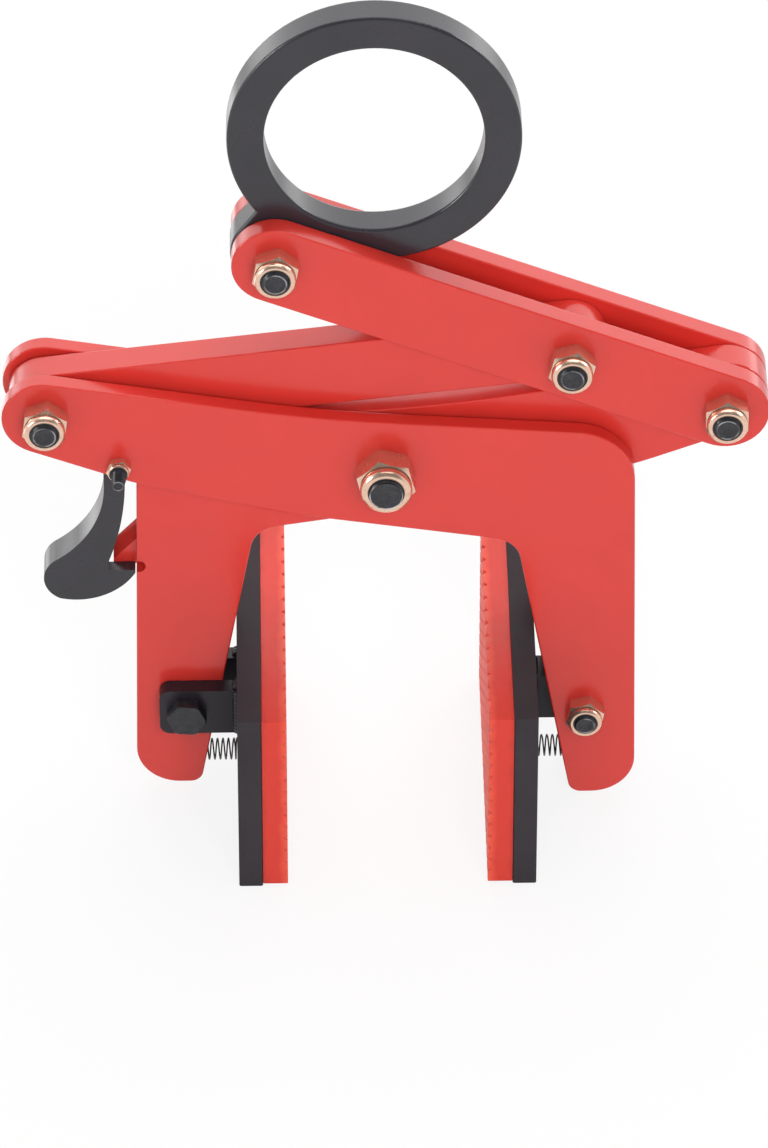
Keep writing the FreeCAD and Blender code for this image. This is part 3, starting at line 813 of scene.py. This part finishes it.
# Camera, fitted to the bolts and plate edges
CAMERA_AIM = Vector((-0.8, -18.0, 137.8)) * MM
CAMERA_AZIMUTH = math.radians(-1.0)
CAMERA_ELEVATION = math.radians(38.68)
CAMERA_DISTANCE = 3.6
CAMERA_SENSOR = 36.0
CAMERA_LENS = 247.58
CAMERA_CLIP_END = 50.0


def background_rays(tree):
    """One for the rays of the camera, of reflections and of clear pieces, and zero for the rest."""
    path = add_node(tree, "ShaderNodeLightPath")
    seen = add_node(tree, "ShaderNodeMath", operation="MAXIMUM")
    tree.links.new(path.outputs["Is Camera Ray"], seen.inputs[0])
    tree.links.new(path.outputs["Is Glossy Ray"], seen.inputs[1])
    also = add_node(tree, "ShaderNodeMath", operation="MAXIMUM")
    tree.links.new(seen.outputs[0], also.inputs[0])
    tree.links.new(path.outputs["Is Transmission Ray"], also.inputs[1])
    return also.outputs[0]


def stage_floor():
    """A pale floor that keeps the shadow and is almost white to the camera."""
    mesh = bpy.data.meshes.new("floor")
    signs = ((-1, -1), (1, -1), (1, 1), (-1, 1))
    corners = [(FLOOR_HALF * x, FLOOR_HALF * y, -FLOOR_DROP) for x, y in signs]
    mesh.from_pydata(corners, [], [(0, 1, 2, 3)])
    floor = add_object("floor", mesh)
    made, tree, shader = new_material("pale_floor")
    shader.inputs["Base Color"].default_value = (FLOOR_GREY, FLOOR_GREY, FLOOR_GREY, 1.0)
    shader.inputs["Roughness"].default_value = FLOOR_ROUGHNESS
    shader.inputs["Specular IOR Level"].default_value = 0.0
    glow = add_node(tree, "ShaderNodeEmission")
    share = add_node(tree, "ShaderNodeMapRange")
    share.inputs["To Max"].default_value = FLOOR_WHITE_SHARE
    tree.links.new(background_rays(tree), share.inputs["Value"])
    mix = add_node(tree, "ShaderNodeMixShader")
    tree.links.new(share.outputs["Result"], mix.inputs[0])
    tree.links.new(shader.outputs["BSDF"], mix.inputs[1])
    tree.links.new(glow.outputs["Emission"], mix.inputs[2])
    tree.links.new(mix.outputs["Shader"], tree.nodes["Material Output"].inputs["Surface"])
    floor.data.materials.append(made)


def room_shade(tree):
    """Less than one for reflections of an unlit room to the front and above, and one elsewhere."""
    place = add_node(tree, "ShaderNodeTexCoord")
    facing = add_node(tree, "ShaderNodeVectorMath", operation="DOT_PRODUCT")
    tree.links.new(place.outputs["Generated"], facing.inputs[0])
    facing.inputs[1].default_value = ROOM_DIRECTION
    share = add_node(tree, "ShaderNodeMapRange", interpolation_type="SMOOTHSTEP")
    share.inputs["From Min"].default_value, share.inputs["From Max"].default_value = ROOM_EDGE
    tree.links.new(facing.outputs["Value"], share.inputs["Value"])
    path = add_node(tree, "ShaderNodeLightPath")
    glossy = add_node(tree, "ShaderNodeMath", operation="MULTIPLY")
    tree.links.new(share.outputs["Result"], glossy.inputs[0])
    tree.links.new(path.outputs["Is Glossy Ray"], glossy.inputs[1])
    shade = add_node(tree, "ShaderNodeMapRange")
    shade.inputs["To Min"].default_value = 1.0
    shade.inputs["To Max"].default_value = ROOM_LEVEL
    tree.links.new(glossy.outputs[0], shade.inputs["Value"])
    return shade.outputs["Result"]


def studio_world():
    """White to the camera, mostly white to reflections, and a softer even light on the object."""
    world = bpy.data.worlds.new("studio")
    bpy.context.scene.world = world
    world.use_nodes = True
    tree = world.node_tree
    sky = tree.nodes["Background"]
    sky.inputs["Color"].default_value = (1.0, 1.0, 1.0, 1.0)
    level = add_node(tree, "ShaderNodeMapRange")
    level.inputs["To Min"].default_value = AMBIENT_LEVEL
    level.inputs["To Max"].default_value = 1.0
    tree.links.new(background_rays(tree), level.inputs["Value"])
    strength = add_node(tree, "ShaderNodeMath", operation="MULTIPLY")
    tree.links.new(level.outputs["Result"], strength.inputs[0])
    tree.links.new(room_shade(tree), strength.inputs[1])
    tree.links.new(strength.outputs[0], sky.inputs["Strength"])


def softbox(name, place, aim, extent, watts, mirrored, lighting):
    light = bpy.data.lights.new(name, "AREA")
    light.shape = "RECTANGLE"
    light.size, light.size_y = extent
    light.energy = watts
    lamp = add_object(name, light)
    lamp.location = place
    point_along(lamp, Vector(aim) - Vector(place))
    lamp.visible_camera = False
    lamp.visible_glossy = mirrored
    lamp.visible_diffuse = lighting


def studio_camera():
    back = Vector((
        math.sin(CAMERA_AZIMUTH) * math.cos(CAMERA_ELEVATION),
        -math.cos(CAMERA_AZIMUTH) * math.cos(CAMERA_ELEVATION),
        math.sin(CAMERA_ELEVATION),
    ))
    data = bpy.data.cameras.new("camera")
    data.sensor_width = CAMERA_SENSOR
    data.lens = CAMERA_LENS
    data.clip_end = CAMERA_CLIP_END
    camera = add_object("camera", data)
    camera.location = CAMERA_AIM + back * CAMERA_DISTANCE
    point_along(camera, -back)
    bpy.context.scene.camera = camera


stage_floor()
studio_world()
for lamp_name, lamp_settings in LAMPS.items():
    softbox(lamp_name, *lamp_settings)
studio_camera()
bpy.context.scene.view_settings.view_transform = "Standard"
bpy.context.scene.cycles.caustics_reflective = False
